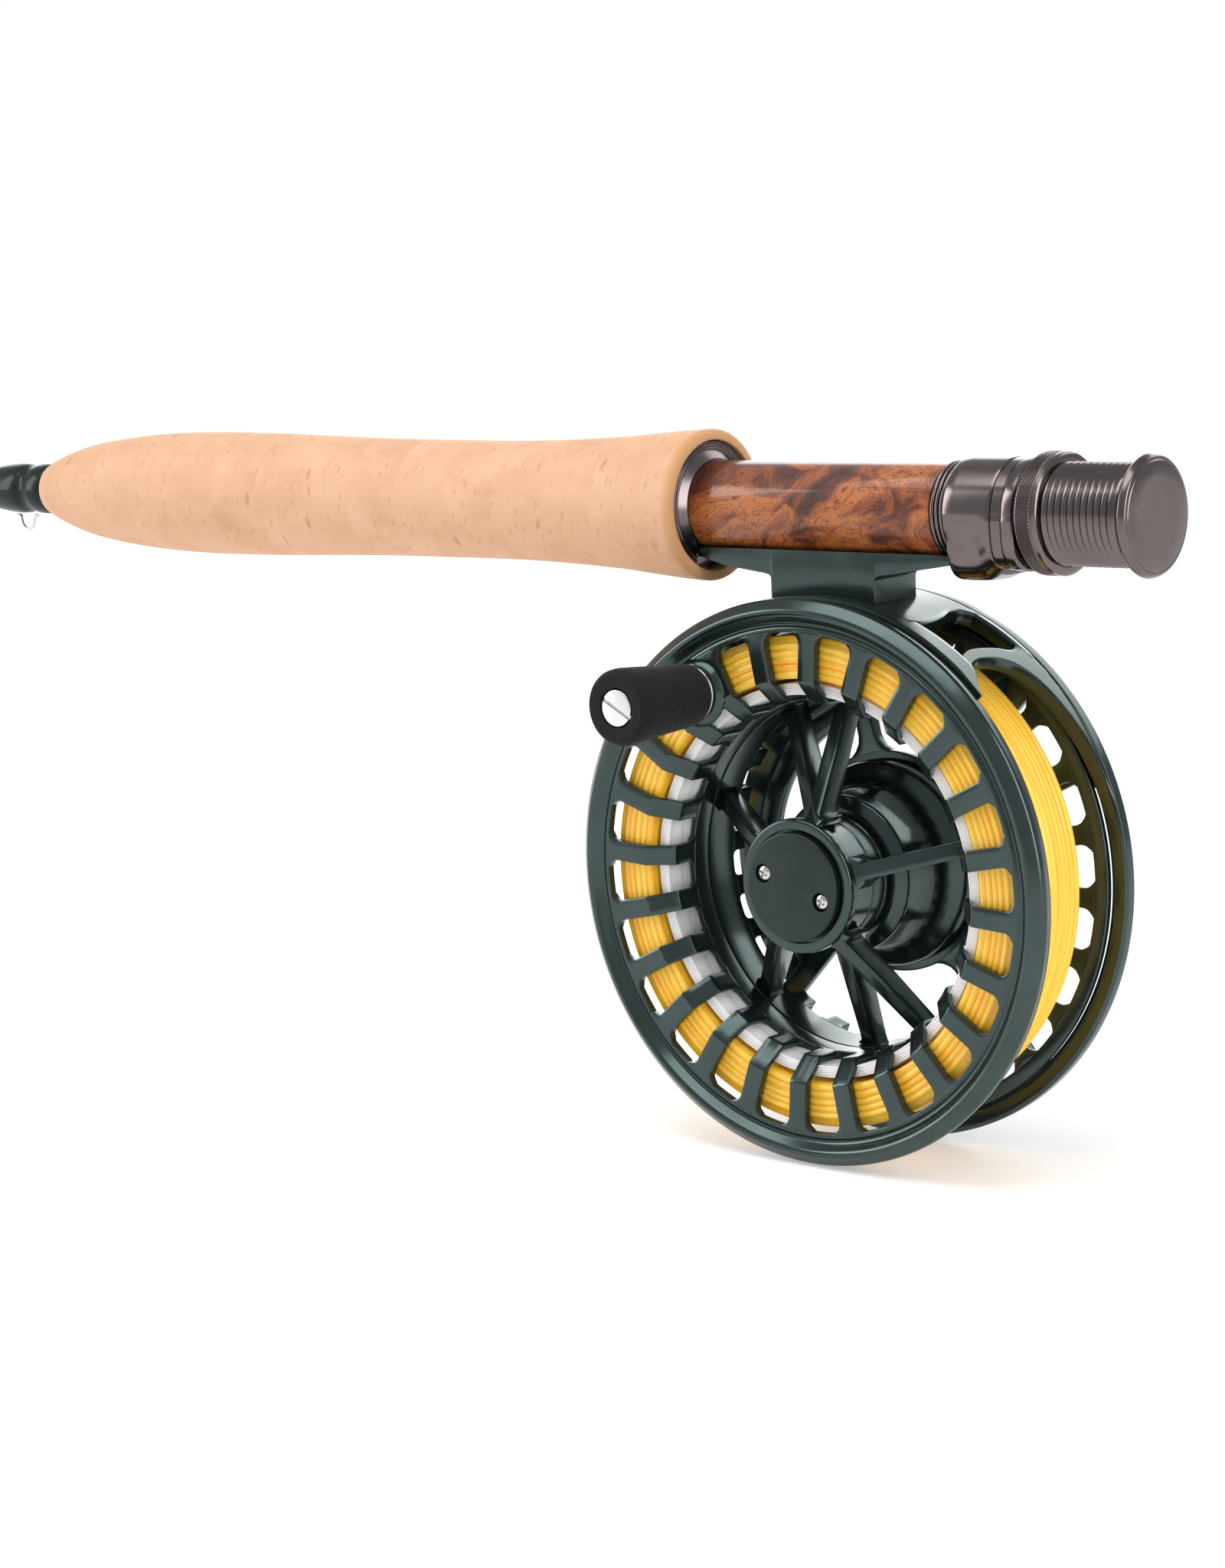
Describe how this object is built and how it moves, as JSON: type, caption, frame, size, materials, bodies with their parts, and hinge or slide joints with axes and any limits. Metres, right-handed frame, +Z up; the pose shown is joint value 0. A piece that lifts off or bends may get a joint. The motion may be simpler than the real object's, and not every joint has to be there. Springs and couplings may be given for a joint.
{
  "type": "fly fishing rod and reel",
  "caption": "Fly fishing rod with a cork grip, a burl wood reel seat and a large-arbor fly reel wound with backing and line.",
  "frame": {"origin": "middle of the cork grip, on the rod's axis", "axes": "+X along the rod to the butt, +Z up with the reel hanging at -Z, the reel's handle towards -Y"},
  "size_m": [2.744, 0.0607, 0.1306],
  "materials": {
    "blank_varnish": "gloss varnish over dark green graphite",
    "thread_varnish": "thread winding under epoxy varnish",
    "cork": "sanded natural cork",
    "burl_wood": "gloss lacquered burl",
    "gunmetal": "polished gunmetal anodised",
    "green_anodised": "satin dark green anodised",
    "stainless_steel": "bright",
    "bright_aluminium": "brushed",
    "carbon_disc": "matt",
    "seal_rubber": "matt",
    "handle_foam": "matt",
    "yellow_fly_line": "smooth coated line",
    "white_backing": "braided",
    "guide_ceramic": "polished ceramic"
  },
  "bodies": {
    "rod_butt": {"blank_butt_section": "blank_varnish", "grip_winding": "thread_varnish", "hook_keeper": "stainless_steel", "cork_grip": "cork", "seat_front_ring": "gunmetal", "wood_insert": "burl_wood", "trim_ring": "gunmetal", "threaded_barrel": "gunmetal", "butt_cap": "gunmetal", "reel_foot": "green_anodised", "foot_screw_1": "stainless_steel", "foot_screw_2": "stainless_steel", "reel_frame": "green_anodised", "drag_housing": "green_anodised", "spindle": "stainless_steel", "carbon_drag_disc": "carbon_disc", "steel_drag_disc": "stainless_steel", "pressure_plate": "stainless_steel", "drag_spring_washer": "stainless_steel", "drag_seal": "seal_rubber"},
    "hood_slider": {"sliding_hood": "gunmetal"},
    "lock_nut": {"lock_ring": "gunmetal"},
    "drag_control": {"drag_knob": "green_anodised"},
    "spool_unit": {"spool": "green_anodised", "hub_cap": "green_anodised", "hub_cap_screw_1": "stainless_steel", "hub_cap_screw_2": "stainless_steel", "backing_winding": "white_backing", "fly_line_winding": "yellow_fly_line", "front_bearing": "stainless_steel", "one_way_clutch": "stainless_steel", "rear_bearing": "stainless_steel", "handle_screw": "bright_aluminium", "handle_washer": "stainless_steel"},
    "handle": {"handle_knob": "handle_foam"},
    "section_2": {"blank_second_section": "blank_varnish", "ferrule_wrap_1": "thread_varnish", "stripping_guide_frame": "gunmetal", "stripping_guide_ring": "guide_ceramic", "snake_guide_1": "stainless_steel", "snake_guide_2": "stainless_steel"},
    "section_3": {"blank_third_section": "blank_varnish", "ferrule_wrap_2": "thread_varnish", "snake_guide_3": "stainless_steel", "snake_guide_4": "stainless_steel", "snake_guide_5": "stainless_steel"},
    "section_4": {"blank_tip_section": "blank_varnish", "ferrule_wrap_3": "thread_varnish", "snake_guide_6": "stainless_steel", "snake_guide_7": "stainless_steel", "snake_guide_8": "stainless_steel", "snake_guide_9": "stainless_steel", "tip_top": "stainless_steel"}
  },
  "joints": [
    {"name": "ferrule_1_slide", "type": "slide", "parent": "rod_butt", "child": "section_2", "axis": [-1, 0, 0], "range_m": [0, 0.06]},
    {"name": "ferrule_2_slide", "type": "slide", "parent": "section_2", "child": "section_3", "axis": [-1, 0, 0], "range_m": [0, 0.06]},
    {"name": "ferrule_3_slide", "type": "slide", "parent": "section_3", "child": "section_4", "axis": [-1, 0, 0], "range_m": [0, 0.06]},
    {"name": "hood_slide", "type": "slide", "parent": "rod_butt", "child": "hood_slider", "axis": [1, 0, 0], "range_m": [0, 0.012]},
    {"name": "lock_ring_turn", "type": "hinge", "parent": "hood_slider", "child": "lock_nut", "pos_m": [0.1653, 0, 0], "axis": [1, 0, 0], "range_deg": [0, 3450]},
    {"name": "drag_knob_turn", "type": "hinge", "parent": "rod_butt", "child": "drag_control", "pos_m": [0.1195, 0.0195, -0.0657], "axis": [0, 1, 0], "range_deg": [0, 330]},
    {"name": "spool_spin", "type": "hinge", "parent": "rod_butt", "child": "spool_unit", "pos_m": [0.1195, 0, -0.0657], "axis": [0, 1, 0], "continuous": true},
    {"name": "handle_spin", "type": "hinge", "parent": "spool_unit", "child": "handle", "pos_m": [0.09707, -0.0265, -0.03258], "axis": [0, 1, 0], "continuous": true}
  ],
  "couplings": [
    {"joint": "hood_slide", "follows": "lock_ring_turn", "m_per_rad": 0.00019894}
  ]
}
